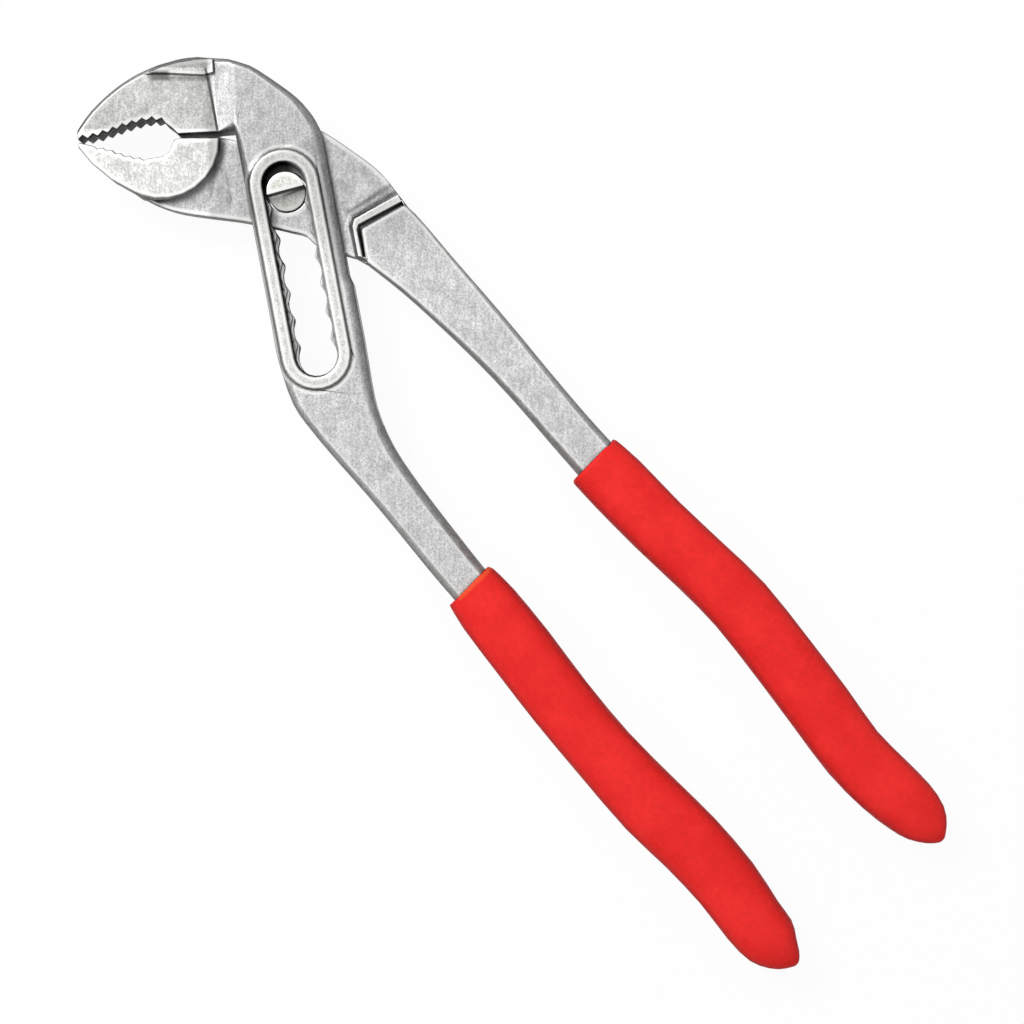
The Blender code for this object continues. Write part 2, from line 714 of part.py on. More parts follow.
def web_rows():
    """The thin plate that passes through the box, from the lower jaw to the handle."""
    starts = [(jaw_point(foot), jaw_point(top)) for foot, top in WEB_START_SHARES]
    middle = []
    for foot, angle in zip(WEB_FOOT_SHARES, WEB_FOOT_ANGLES):
        lower = from_slot(foot[0] * WEB_RADIUS, foot[1] * WEB_RADIUS)
        turn = radians(angle)
        middle.append((lower, from_slot(WEB_RADIUS * cos(turn), WEB_RADIUS * sin(turn))))
    neck = []
    for foot, top in WEB_NECK_SHARES:
        places = [from_slot(place[0] * WEB_RADIUS, place[1] * WEB_RADIUS) for place in (foot, top)]
        neck.append(tuple(places))
    edges = smooth_rows([(*lower, *upper) for lower, upper in starts + middle + neck], EVEN_STEPS)
    sizes = (WEB_HALF_HEIGHT, EDGE_BREAK, EDGE_BREAK, EDGE_BREAK)
    return [section_row(edge[0:2], edge[2:4], *sizes) for edge in edges]


def add_collar(material, group):
    """The shoulder at the root of the inner handle: a cove up to a ridge, then a groove."""
    ridge = HANDLE_ROOT_HALF_HEIGHT - COLLAR_RIDGE_DROP
    foot, top = (handle_point(share, INNER_HANDLE_OFFSET) for share in COLLAR_INNER_SHARES)
    rings = []
    for level, (shares, rise) in enumerate(reversed(COLLAR_LEVELS)):
        outline = [handle_point(share, INNER_HANDLE_OFFSET) for share in shares]
        lap = level * COLLAR_LAP
        outline += [(foot[0] + lap, foot[1] - lap), (top[0] + lap, top[1] + lap)]
        rings.append((outline, WEB_HALF_HEIGHT + (ridge - WEB_HALF_HEIGHT) * rise))
    stack = [flat_ring(outline, -height) for outline, height in rings]
    stack += [flat_ring(outline, height) for outline, height in reversed(rings)]
    return add_loft("collar_tool", stack, material, group)


def inner_handle_rows():
    """Stations of the inner handle: those of its root, then those of its length."""
    start = (HANDLE_ROOT_HALF_HEIGHT, ROOT_BEVEL, ROOT_BEVEL, ROOT_BEVEL)
    root = []
    for left, right in INNER_ROOT_SHARES:
        places = [handle_point(shares, INNER_HANDLE_OFFSET) for shares in (left, right)]
        root.append(section_row(*places, *start))
    handle = handle_rows(INNER_HANDLE_SHARES, INNER_HANDLE_OFFSET, start)
    return root, smooth_rows(handle, HANDLE_STEPS)


def add_inner_handle(material, group):
    """The inner handle, whose end at the collar has its edges broken."""
    root, handle = inner_handle_rows()
    start = [widened_row(root[0], -ROOT_BEVEL), shifted_row(root[0], ROOT_BEVEL)]
    rows = start + root[1:] + handle + tang_rows(INNER_GRIP_SHARES, INNER_HANDLE_OFFSET)
    return add_loft("inner_handle_tool", [section_ring(row) for row in rows], material, group)


def add_cylinder(name, radius, half_length, material, group):
    mesh = bpy.data.meshes.new(name)
    shape = bmesh.new()
    bmesh.ops.create_cone(
        shape,
        cap_ends=True,
        segments=PIN_SEGMENTS,
        radius1=radius,
        radius2=radius,
        depth=2 * half_length,
    )
    shape.to_mesh(mesh)
    shape.free()
    body = bpy.data.objects.new(name, mesh)
    body.data.materials.append(material)
    group.objects.link(body)
    return body


def add_inner_arm(material, group, tools):
    """The arm that passes through the box: lower jaw, web and handle forged in one."""
    rings = [section_ring(row) for row in web_rows()]
    arm = add_loft("inner_arm", rings, material, group)
    combine(arm, add_lower_jaw(material, tools), "UNION")
    combine(arm, add_collar(material, tools), "UNION")
    combine(arm, add_inner_handle(material, tools), "UNION")
    hole = add_cylinder("pin_hole_tool", SEAT_RADIUS, BOX_HALF_HEIGHT, material, tools)
    combine(arm, hole, "DIFFERENCE")
    return arm


def add_pivot_pin(material, group, tools):
    """The pin, full round in the web, with a half-moon at each end that locks in a seat."""
    pin = add_cylinder("pivot_pin", PIN_RADIUS, PIN_HALF_LENGTH, material, group)
    depth = PIN_HALF_LENGTH - WEB_HALF_HEIGHT
    size = Vector((2 * PIN_RADIUS, 4 * PIN_RADIUS, 2 * depth))
    for name, side in (("upper_flat_tool", 1), ("lower_flat_tool", -1)):
        mesh = bpy.data.meshes.new(name)
        shape = bmesh.new()
        bmesh.ops.create_cube(shape, size=1, matrix=Matrix.Diagonal((*size, 1)))
        place = (size.x / 2 - HALF_MOON_OFFSET, 0, side * PIN_HALF_LENGTH)
        bmesh.ops.translate(shape, verts=shape.verts[:], vec=place)
        shape.to_mesh(mesh)
        shape.free()
        flat = bpy.data.objects.new(name, mesh)
        flat.rotation_euler.z = SLOT_ANGLE + HALF_MOON_TILT
        tools.objects.link(flat)
        combine(pin, flat, "DIFFERENCE")
    return pin


def grip_rings(mouth, shares, offset):
    """Rings of a dipped grip, from its drawn-in mouth to its pointed end."""
    lip = GRIP_LIP / HANDLE_REACH
    drawn = 2 * GRIP_LIP / GRIP_WIDTH
    height = GRIP_MOUTH_HEIGHT_SHARE
    first = (mouth[0], mouth[1], mouth[2] - drawn, height - GRIP_LIP / GRIP_HALF_HEIGHT)
    second = (mouth[0] + lip, mouth[1], mouth[2], height)
    rows = [first] + smooth_rows([second, *shares], EVEN_STEPS)
    rings = []
    for centre, across, (width, height) in line_stations(rows, offset):
        rings.append(oval_ring(centre, across, width * GRIP_WIDTH / 2, height * GRIP_HALF_HEIGHT))
    return rings


def add_grip(name, plan, handle, material, groups):
    """A dipped grip with the hollow that its tang fills, from the handle's last stations on."""
    grip = add_loft(name, grip_rings(*plan), material, groups[0])
    covered = handle[-1 - HANDLE_STEPS:] + tang_rows(*plan[1:])
    rows = [widened_row(row, CLEARANCE) for row in covered]
    rows.append(shifted_row(rows[-1], CLEARANCE))
    hollow = add_loft(f"{name}_hollow_tool", [section_ring(row) for row in rows], material, groups[1])
    combine(grip, hollow, "DIFFERENCE")
    return grip


def shade_round(parts):
    for item in parts:
        for face in item.data.polygons:
            face.use_smooth = True
        item.data.set_sharp_from_angle(angle=SHARP_ANGLE)


def build_pliers():
    """Models both arms, the pin and the grips, and places them at the joint."""
    clear_scene()
    group = add_collection("water_pump_pliers")
    tools = add_collection("cutters")
    steel, pin_steel, vinyl = (make_material(finish) for finish in (STEEL, PIN_STEEL, VINYL))
    joint = Vector((*PIN_FROM_CENTRE, RIM_HALF_HEIGHT))

    box_arm = add_box_arm(steel, group, tools)
    pin = add_pivot_pin(pin_steel, group, tools)
    inner_arm = add_inner_arm(steel, group, tools)
    box_plan = (BOX_GRIP_MOUTH_SHARES, BOX_GRIP_SHARES, BOX_HANDLE_OFFSET)
    box_grip = add_grip("box_arm_grip", box_plan, box_handle_rows(), vinyl, (group, tools))
    inner_plan = (INNER_GRIP_MOUTH_SHARES, INNER_GRIP_SHARES, INNER_HANDLE_OFFSET)
    inner_grip = add_grip("inner_arm_grip", inner_plan, inner_handle_rows()[1], vinyl, (group, tools))

    box_arm.location = joint
    pin.location = joint
    box_grip.parent = box_arm
    inner_arm.parent = pin
    inner_grip.parent = inner_arm
    shade_round((box_arm, pin, inner_arm, box_grip, inner_grip))


if __name__ == "__main__":
    build_pliers()
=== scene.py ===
"""Water pump pliers with a box joint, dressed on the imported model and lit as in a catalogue."""

import json
import logging
from dataclasses import dataclass, field
from enum import Enum
from functools import reduce
from math import radians

import bmesh
import bpy
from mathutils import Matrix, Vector

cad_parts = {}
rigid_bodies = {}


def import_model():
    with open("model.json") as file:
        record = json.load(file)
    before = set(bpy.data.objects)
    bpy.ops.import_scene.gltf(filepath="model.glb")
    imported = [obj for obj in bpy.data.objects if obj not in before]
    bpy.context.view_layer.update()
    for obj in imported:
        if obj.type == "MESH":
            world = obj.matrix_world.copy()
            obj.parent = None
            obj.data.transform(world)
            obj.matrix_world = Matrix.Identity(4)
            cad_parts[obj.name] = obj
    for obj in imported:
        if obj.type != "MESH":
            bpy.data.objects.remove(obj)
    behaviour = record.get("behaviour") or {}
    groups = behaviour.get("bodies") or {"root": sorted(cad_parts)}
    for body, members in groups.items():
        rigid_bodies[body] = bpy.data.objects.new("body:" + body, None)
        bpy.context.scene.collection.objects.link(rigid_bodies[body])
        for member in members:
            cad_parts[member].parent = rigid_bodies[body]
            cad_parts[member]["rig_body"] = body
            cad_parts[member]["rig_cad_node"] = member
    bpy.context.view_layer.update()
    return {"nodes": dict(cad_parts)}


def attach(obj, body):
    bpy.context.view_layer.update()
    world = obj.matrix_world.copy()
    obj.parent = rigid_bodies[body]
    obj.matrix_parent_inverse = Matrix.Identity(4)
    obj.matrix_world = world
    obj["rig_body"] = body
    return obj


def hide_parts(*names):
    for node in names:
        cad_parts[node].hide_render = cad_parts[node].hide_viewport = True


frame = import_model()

LOG = logging.getLogger("water_pump_pliers")
MM = 0.001
WHITE = (1.0, 1.0, 1.0)

Colour = tuple[float, float, float]
Place = tuple[float, float, float]
Span = tuple[float, ...]
Socket = bpy.types.NodeSocket
Outputs = bpy.types.bpy_prop_collection

# Turn of the joint's slot in the part, and turn of the part in the picture, in degrees
SLOT_TURN = -35.2
PICTURE_TURN = 44.11


class Finish(Enum):
    """The finishes that the tool has, named as its record's material slots."""

    FORGED = "forged_steel"
    PIN = "pin_steel"
    GRIP = "red_vinyl"


def clear_selection() -> None:
    """Leaves nothing selected, so that an operator works on one piece only."""
    bpy.ops.object.select_all(action="DESELECT")


def pick(item: bpy.types.Object) -> None:
    """Makes one object the only selected and the active one.

    Args:
        item: The object to work on.
    """
    clear_selection()
    item.select_set(True)
    bpy.context.view_layer.objects.active = item


def middle_of(node: str) -> Place:
    """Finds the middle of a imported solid.

    Args:
        node: Its name in the frame.

    Returns:
        The middle of its box.
    """
    solid = frame["nodes"][node]
    corners = [solid.matrix_world @ Vector(corner) for corner in solid.bound_box]
    return tuple((min(values) + max(values)) / 2 for values in zip(*corners))


def moved(place: Place, offset: tuple[float, float]) -> Place:
    """Moves a place level with the floor.

    Args:
        place: The place.
        offset: How far it goes along X and Y, in millimetres.

    Returns:
        The new place.
    """
    return (place[0] + offset[0] * MM, place[1] + offset[1] * MM, place[2])


@dataclass
class NodeBench:
    """A node tree with short ways to add and join its nodes."""

    tree: bpy.types.NodeTree

    def add(self, kind: str, **settings: object) -> bpy.types.Node:
        """Adds a node.

        Args:
            kind: Blender's name for its type, without the ShaderNode in front.
            settings: Its properties.

        Returns:
            The node.
        """
        node = self.tree.nodes.new(f"ShaderNode{kind}")
        for name, value in settings.items():
            setattr(node, name, value)
        return node

    def join(self, value: object, socket: Socket) -> None:
        """Sets or joins one input.

        Args:
            value: An output, a colour or a plain value.
            socket: The input.
        """
        if isinstance(value, Socket):
            self.tree.links.new(value, socket)
        elif socket.type == "RGBA":
            socket.default_value = (*value, 1.0)
        else:
            socket.default_value = value

    def feed(self, node: bpy.types.Node, **inputs: object) -> bpy.types.Node:
        """Sets or joins a node's inputs, named with underscores for spaces.

        Args:
            node: The node.
            inputs: A value or another node's output for each input.

        Returns:
            The same node.
        """
        for name, value in inputs.items():
            self.join(value, node.inputs[name.replace("_", " ")])
        return node

    def group(self, effect: "SharedEffect", **inputs: object) -> Outputs:
        """Adds a shared effect.

        Args:
            effect: The effect.
            inputs: A value or another node's output for each of its inputs.

        Returns:
            Its outputs.
        """
        return self.feed(self.add("Group", node_tree=effect.found()), **inputs).outputs

    def noise(self, **inputs: object) -> Socket:
        """Adds a noise.

        Args:
            inputs: A value or another node's output for each of its inputs.

        Returns:
            Its value.
        """
        return self.feed(self.add("TexNoise"), **inputs).outputs["Fac"]

    def occlusion(self, reach: float, samples: int, inside: bool = False) -> Socket:
        """Finds how open the places round a point are.

        Args:
            reach: How far it looks.
            samples: How many times.
            inside: Whether it looks into the material instead.

        Returns:
            1 where nothing is near, towards 0 where it is closed in.
        """
        node = self.add("AmbientOcclusion", samples=samples, inside=inside)
        return self.feed(node, Distance=reach).outputs["AO"]

    def ramp(self, value: Socket, start: float, end: float, low: float = 0.0,
             high: float = 1.0) -> Socket:
        """Stretches a value smoothly from one range to another.

        Args:
            value: The value.
            start: Where it gives the low result.
            end: Where it gives the high result.
            low: The low result.
            high: The high result.

        Returns:
            The stretched value.
        """
        node = self.add("MapRange", interpolation_type="SMOOTHSTEP")
        for socket, given in zip(node.inputs, (value, start, end, low, high)):
            self.join(given, socket)
        return node.outputs["Result"]

    def maths(self, operation: str, first: Socket, second: Socket | float = 0.0) -> Socket:
        """Works out one value from one or two others.

        Args:
            operation: What is done.
            first: The first value.
            second: The second one, where the operation has it.

        Returns:
            The result.
        """
        node = self.add("Math", operation=operation)
        for socket, given in zip(node.inputs, (first, second)):
            self.join(given, socket)
        return node.outputs["Value"]

    def product(self, *factors: Socket | float) -> Socket:
        """Multiplies values, of which the first is an output."""
        return reduce(lambda first, second: self.maths("MULTIPLY", first, second), factors)

    def blend(self, share: Socket | float, first: Socket | Colour, second: Socket | Colour,
              way: str = "MIX") -> Socket:
        """Mixes two colours.

        Args:
            share: How much of the second shows.
            first: A colour, or an output that gives one.
            second: The other.
            way: How they are mixed.

        Returns:
            The mixed colour.
        """
        node = self.add("Mix", data_type="RGBA", blend_type=way)
        return self.feed(node, Factor=share, A=first, B=second).outputs["Result"]

    def toned(self, colour: Socket, tone: Socket | float) -> Socket:
        """Makes a colour darker or lighter.

        Args:
            colour: The colour.
            tone: What it is multiplied by.

        Returns:
            The new colour.
        """
        return self.blend(1.0, colour, (tone,) * 3 if isinstance(tone, float) else tone, "MULTIPLY")


def new_material(name: str) -> tuple[bpy.types.Material, NodeBench, bpy.types.Node]:
    """Starts a material.

    Args:
        name: Its name.

    Returns:
        The material, its nodes and its shader.
    """
    material = bpy.data.materials.new(name)
    material.use_nodes = True
    bench = NodeBench(material.node_tree)
    return material, bench, bench.tree.nodes["Principled BSDF"]


@dataclass(frozen=True)
class SharedEffect:
    """A node group that several materials use. Each kind says what it holds."""

    name: str

    def begin(self, inputs: dict[str, str],
              outputs: dict[str, str]) -> tuple[NodeBench, Outputs, bpy.types.Node]:
        """Starts the group with its sockets.

        Args:
            inputs: Each input's type.
            outputs: Each output's type.

        Returns:
            The group's nodes, what comes in, and the node that takes what goes out.
        """
        tree = bpy.data.node_groups.new(self.name, "ShaderNodeTree")
        for way, sockets in (("INPUT", inputs), ("OUTPUT", outputs)):
            for label, kind in sockets.items():
                tree.interface.new_socket(label, in_out=way, socket_type=f"NodeSocket{kind}")
        start = tree.nodes.new("NodeGroupInput")
        end = tree.nodes.new("NodeGroupOutput")
        return NodeBench(tree), start.outputs, end

    def found(self) -> bpy.types.NodeTree:
        """Gives the group, built the first time it is asked for."""
        return bpy.data.node_groups.get(self.name) or self.build()

    def build(self) -> bpy.types.NodeTree:
        """Builds the group."""
        raise NotImplementedError


@dataclass(frozen=True)
class FineGrain(SharedEffect):
    """Blasted grain: a fine value, broad patches, and the normal that the grain raises."""

    name: str = "fine_grain"
    grain_detail: float = 3.0
    grain_roughness: float = 0.65
    patch_detail: float = 5.0
    patch_roughness: float = 0.6
    rise: float = 0.1 * MM

    def build(self) -> bpy.types.NodeTree:
        """Builds the group.

        Returns:
            The group.
        """
        bench, start, end = self.begin(
            {"Vector": "Vector", "Grain Scale": "Float", "Patch Scale": "Float", "Height": "Float"},
            {"Grain": "Float", "Patches": "Float", "Normal": "Vector"},
        )
        grain = bench.noise(Vector=start["Vector"], Scale=start["Grain Scale"],
                            Detail=self.grain_detail, Roughness=self.grain_roughness)
        patches = bench.noise(Vector=start["Vector"], Scale=start["Patch Scale"],
                              Detail=self.patch_detail, Roughness=self.patch_roughness)
        bump = bench.feed(bench.add("Bump"), Distance=self.rise, Strength=start["Height"],
                          Height=grain)
        bench.feed(end, Grain=grain, Patches=patches, Normal=bump.outputs["Normal"])
        return bench.tree


@dataclass(frozen=True)
class Relief(SharedEffect):
    """What the shape gives a finish: its level faces, and where shade is painted in hollows and
    creases and highlights on convex edges.
    """

    name: str = "relief"
    samples: int = 8
    hollow_reach: float = 2.5 * MM
    crease_reach: float = 0.55 * MM
    crease_span: Span = (0.90, 0.55)
    edge_reach: float = 1.3 * MM
    edge_span: Span = (0.985, 0.82)

    def build(self) -> bpy.types.NodeTree:
        """Builds the group.

        Returns:
            The group.
        """
        bench, start, end = self.begin(
            {"Normal": "Vector"},
            {"Level": "Float", "Open": "Float", "Crease": "Float", "Edge": "Float"},
        )
        split = bench.feed(bench.add("SeparateXYZ"), Vector=start["Normal"])
        nook = bench.occlusion(self.crease_reach, self.samples)
        corner = bench.occlusion(self.edge_reach, self.samples, inside=True)
        bench.feed(
            end,
            Level=bench.maths("ABSOLUTE", split.outputs["Z"]),
            Open=bench.occlusion(self.hollow_reach, self.samples),
            Crease=bench.ramp(nook, *self.crease_span),
            Edge=bench.ramp(corner, *self.edge_span),
        )
        return bench.tree


@dataclass(frozen=True)
class Zone(SharedEffect):
    """How far a place lies from a point, once turned about Z: along, across and up."""

    name: str = "zone"

    def build(self) -> bpy.types.NodeTree:
        """Builds the group.

        Returns:
            The group.
        """
        bench, start, end = self.begin(
            {"Vector": "Vector", "From": "Vector", "Turn": "Float"},
            {"Along": "Float", "Across": "Float", "Up": "Float"},
        )
        gap = bench.add("VectorMath", operation="SUBTRACT")
        for socket, given in zip(gap.inputs, (start["Vector"], start["From"])):
            bench.join(given, socket)
        turned = bench.add("VectorRotate", rotation_type="Z_AXIS", invert=True)
        bench.feed(turned, Vector=gap.outputs["Vector"], Angle=start["Turn"])
        split = bench.feed(bench.add("SeparateXYZ"), Vector=turned.outputs["Vector"]).outputs
        bench.feed(end, Along=split["X"], Across=split["Y"], Up=split["Z"])
        return bench.tree


@dataclass(frozen=True)
class Track(SharedEffect):
    """How far a place lies from a straight line that runs along, from its start to its end."""

    name: str = "track"

    def build(self) -> bpy.types.NodeTree:
        """Builds the group.

        Returns:
            The group.
        """
        bench, start, end = self.begin(
            {"Along": "Float", "Across": "Float", "Start": "Float", "End": "Float"},
            {"Distance": "Float"},
        )
        nearest = bench.maths("MAXIMUM", start["Along"], start["Start"])
        nearest = bench.maths("MINIMUM", nearest, start["End"])
        beyond = bench.maths("SUBTRACT", start["Along"], nearest)
        squares = [bench.product(gap, gap) for gap in (beyond, start["Across"])]
        bench.feed(end, Distance=bench.maths("SQRT", bench.maths("ADD", *squares)))
        return bench.tree


@dataclass(frozen=True)
class Patch:
    """A soft-edged box on a finish, turned about Z, in which something shows.

    Its middle is offset from the pin's. The along and across values are where it begins, is full,
    is still full and has ended. All are in millimetres, and the turn is in degrees.
    """

    turn: float
    along: Span
    across: Span
    offset: tuple[float, float] = field(default=(0.0, 0.0), kw_only=True)

    def mask(self, bench: NodeBench, place: Socket, pin: Place) -> Socket:
        """Finds the patch.

        Args:
            bench: The material's nodes.
            place: Object coordinates.
            pin: The pin's middle.

        Returns:
            1 within it, 0 outside.
        """
        middle = moved(pin, self.offset)
        zone = bench.group(Zone(), Vector=place, From=middle, Turn=radians(self.turn))
        sides = []
        for output, (begin, full, still, end) in (("Along", self.along), ("Across", self.across)):
            sides.append(bench.ramp(zone[output], begin * MM, full * MM))
            sides.append(bench.ramp(zone[output], end * MM, still * MM))
        return bench.product(*sides)


@dataclass(frozen=True)
class Mark(Patch):
    """A patch that is darker or lighter than what lies round it."""

    tone: float

    def lay(self, bench: NodeBench, colour: Socket, place: Socket, pin: Place) -> Socket:
        """Lays the patch over a colour.

        Args:
            bench: The material's nodes.
            colour: What lies under it.
            place: Object coordinates.
            pin: The pin's middle.

        Returns:
            The colour with the patch.
        """
        return bench.blend(self.mask(bench, place, pin), colour, bench.toned(colour, self.tone))


# Past the tool's edge, where a patch has no end of its own
PAST = (40.0, 41.0)

FORGED_MARKS = (
    # Painted shade in the cove before the inner arm's raised band
    Mark(76.2, (-7.0, -5.6, 6.2, 8.0), (-0.1, 0.5, 2.4, 3.4), 0.36, offset=(16.8, 11.6)),
    # Beside the upper jaw: painted shade on its face, a painted shade line in the groove, and
    # painted light on the pale slope of the box
    Mark(SLOT_TURN, (-31.0, -30.0, 0.0, 2.0), (-16.5, -12.9, -12.3, -12.2), 0.76),
    Mark(SLOT_TURN, (-30.5, -30.0, -16.4, -16.0), (-12.85, -12.65, -12.25, -12.1), 0.30),
    Mark(SLOT_TURN, (-31.0, -30.5, -15.0, -14.0), (-12.2, -12.0, -8.2, -7.4), 1.30),
    # The foot of the upper jaw's rib: painted shade in the hollow at its end, and a painted shade
    # line along it
    Mark(PICTURE_TURN, (-2.8, -1.4, 1.6, 2.8), (-1.6, -0.6, 0.6, 1.6), 0.34, offset=(-38.2, -1.1)),
    Mark(PICTURE_TURN, (-5.0, -4.0, 4.4, 5.0), (-0.9, 0.1, 0.2, 0.6), 0.55, offset=(-33.2, 2.9)),
    # Painted shade over the head, upper jaw, jaw tip and rib
    Mark(PICTURE_TURN, (-18.0, -16.5, *PAST), (-18.0, -4.0, *PAST), 0.75),
    Mark(PICTURE_TURN, (-50.0, -49.0, -17.5, -16.5), (13.6, 14.2, *PAST), 0.76),
    Mark(PICTURE_TURN, (-50.0, -49.0, -39.0, -31.0), (13.6, 14.2, *PAST), 0.85),
    Mark(PICTURE_TURN, (-36.0, -33.0, -18.0, -17.0), (27.2, 27.8, *PAST), 0.62),
)

# Painted shade on the half of the pin's end that its flat leaves lower
PIN_FLAT_TURN = PICTURE_TURN + 15.3
PIN_MARKS = (Mark(PIN_FLAT_TURN, (-5.0, -4.9, 4.9, 5.0), (-5.0, -4.9, -0.5, -0.1), 0.60),)

# The jaws' toothed hollow, whose steep faces get painted shade: under the upper teeth, and over the
# lower ones
UNDER_UPPER = Patch(PICTURE_TURN + 5.5, (-45.5, -45.1, -20.4, -19.8), (0.0, 1.0, 20.3, 20.6))
OVER_LOWER = Patch(PICTURE_TURN - 14.5, (-60.0, -59.0, 0.0, 1.0), (0.5, 0.8, *PAST))

# The painted highlight at the mouth of the box arm's grip
GRIP_LIP_HIGHLIGHT = Patch(88.0, (-5.4, -4.6, 4.4, 5.2), (-0.85, -0.45, 0.4, 0.8), offset=(91.0, -33.4))


@dataclass(frozen=True)
class Steel:
    """Satin plated steel over a fine blasted grain, with painted shade on its steep sides, in its
    creases and hollows, and painted highlights on its edges.
    """

    name: str
    face: Colour
    # The painted shade on the steep sides
    side: Colour = (0.27, 0.27, 0.265)
    bright: Colour = (0.95, 0.95, 0.93)
    metal: float = 0.6
    glance: float = 0.35
    smooth: float = 0.36
    rough: float = 0.50
    gloss_span: Span = (0.35, 0.65)
    grain_scale: float = 2300.0
    patch_scale: float = 420.0
    streak_scale: float = 1500.0
    streak_detail: float = 3.0
    streak_length: float = 7.0
    bump: float = 0.22
    level_span: Span = (0.50, 0.92)
    grain_tone: Span = (0.32, 0.68, 0.72, 1.22)
    patch_tone: Span = (0.30, 0.70, 0.90, 1.08)
    streak_tone: Span = (0.30, 0.70, 0.90, 1.10)
    edge_highlight_span: Span = (0.60, 0.95, 0.0, 0.95)
    # How much painted shade the creases get, and how much colour it leaves
    crease_shade_share: float = 0.8
    crease_shade_left: float = 0.22
    # The painted shade in hollows: where it begins and how much colour it leaves
    hollow_shade_span: Span = (0.66, 0.12)
    hollow_shade_left: float = 0.12
    marks: tuple[Mark, ...] = ()
    pin: Place = field(kw_only=True)

    def material(self) -> bpy.types.Material:
        """Builds the material.

        Returns:
            The material.
        """
        material, bench, shader = new_material(self.name)
        coordinates = bench.add("TexCoord").outputs
        place = coordinates["Object"]
        grain = bench.group(FineGrain(), Vector=place, Grain_Scale=self.grain_scale,
                            Patch_Scale=self.patch_scale, Height=self.bump)
        relief = bench.group(Relief(), Normal=coordinates["Normal"])

        # Painted shade on the steep faces, by how level each face is
        level = bench.ramp(relief["Level"], *self.level_span)
        colour = bench.blend(level, self.sides(bench, place), self.faces(bench, place))
        tone = bench.ramp(grain["Grain"], *self.grain_tone)
        patch = bench.ramp(grain["Patches"], *self.patch_tone)
        streak = bench.ramp(self.streaks(bench, place), *self.streak_tone)
        colour = bench.toned(colour, bench.product(tone, patch, streak))
        # Painted highlights along the convex edges of level faces
        shown = bench.ramp(relief["Level"], *self.edge_highlight_span)
        colour = bench.blend(bench.product(relief["Edge"], shown), colour, self.bright)
        # Painted shade in the creases
        crease = bench.product(relief["Crease"], self.crease_shade_share)
        colour = bench.blend(crease, colour, bench.toned(colour, self.crease_shade_left))
        colour = self.drawing(bench, colour, place)
        # The marks of painted light and shade
        for mark in self.marks:
            colour = mark.lay(bench, colour, place, self.pin)
        # Painted shade in the hollows
        hollow_shade = bench.ramp(relief["Open"], *self.hollow_shade_span)
        colour = bench.blend(hollow_shade, colour, bench.toned(colour, self.hollow_shade_left))

        gloss = bench.ramp(grain["Patches"], *self.gloss_span, self.smooth, self.rough)
        bench.feed(shader, Metallic=self.metal, Specular_Tint=(self.glance,) * 3)
        bench.feed(shader, Base_Color=colour, Roughness=gloss, Normal=grain["Normal"])
        return material

    def faces(self, bench: NodeBench, place: Socket) -> Socket | Colour:
        """Gives the colour of level faces."""
        return self.face

    def sides(self, bench: NodeBench, place: Socket) -> Socket | Colour:
        """Gives the painted shade colour of steep faces."""
        return self.side

    def drawing(self, bench: NodeBench, colour: Socket, place: Socket) -> Socket:
        """Adds the lines and shades that follow the shape. Plain steel has none."""
        return colour

    def streaks(self, bench: NodeBench, place: Socket) -> Socket:
        """Lays faint grinding lines that run up the picture.

        Args:
            bench: The material's nodes.
            place: Object coordinates.

        Returns:
            Their value.
        """
        turned = bench.add("Mapping", vector_type="TEXTURE")
        bench.feed(turned, Vector=place, Rotation=(0.0, 0.0, radians(PICTURE_TURN)),
                   Scale=(1.0, self.streak_length, 1.0))
        return bench.noise(Vector=turned.outputs["Vector"], Scale=self.streak_scale,
                           Detail=self.streak_detail)


@dataclass(frozen=True)
class PinSteel(Steel):
    """The pin's steel: paler and smoother, with the lower half of its end in shade."""

    name: str = Finish.PIN.value
    face: Colour = (0.78, 0.78, 0.73)
    smooth: float = 0.28
    rough: float = 0.36
    marks: tuple[Mark, ...] = PIN_MARKS


@dataclass(frozen=True)
class RimLine:
    """One line painted round the slot, on faces above a height: a highlight if lit, else a shade
    line.

    It runs from inner to outer, from the slot's middle line. All three are in millimetres.
    """

    inner: float
    outer: float
    height: float
    lit: bool
    fade: float = 0.2
    share: float = 0.8

    def mask(self, bench: NodeBench, away: Socket, height: Socket) -> Socket:
        """Finds the line.

        Args:
            bench: The material's nodes.
            away: Distance from the slot's middle line.
            height: Distance from the middle of the tool's thickness.

        Returns:
            How strongly the line shows.
        """
        middle = (self.inner + self.outer) / 2 * MM
        rise = bench.ramp(away, self.inner * MM, middle)
        fall = bench.ramp(away, self.outer * MM, middle)
        raised = bench.ramp(height, self.height * MM, (self.height + self.fade) * MM)
        return bench.product(rise, fall, raised, self.share)


# Painted highlights along the rim's inner and outer edges and past its foot, and a painted shade
# line at its foot
RIM_LINES = (
    RimLine(5.0, 5.7, 5.7, lit=True),
    RimLine(6.9, 7.6, 5.7, lit=True),
    RimLine(7.7, 8.2, 4.6, lit=False),
    RimLine(8.1, 9.1, 4.2, lit=True),
)


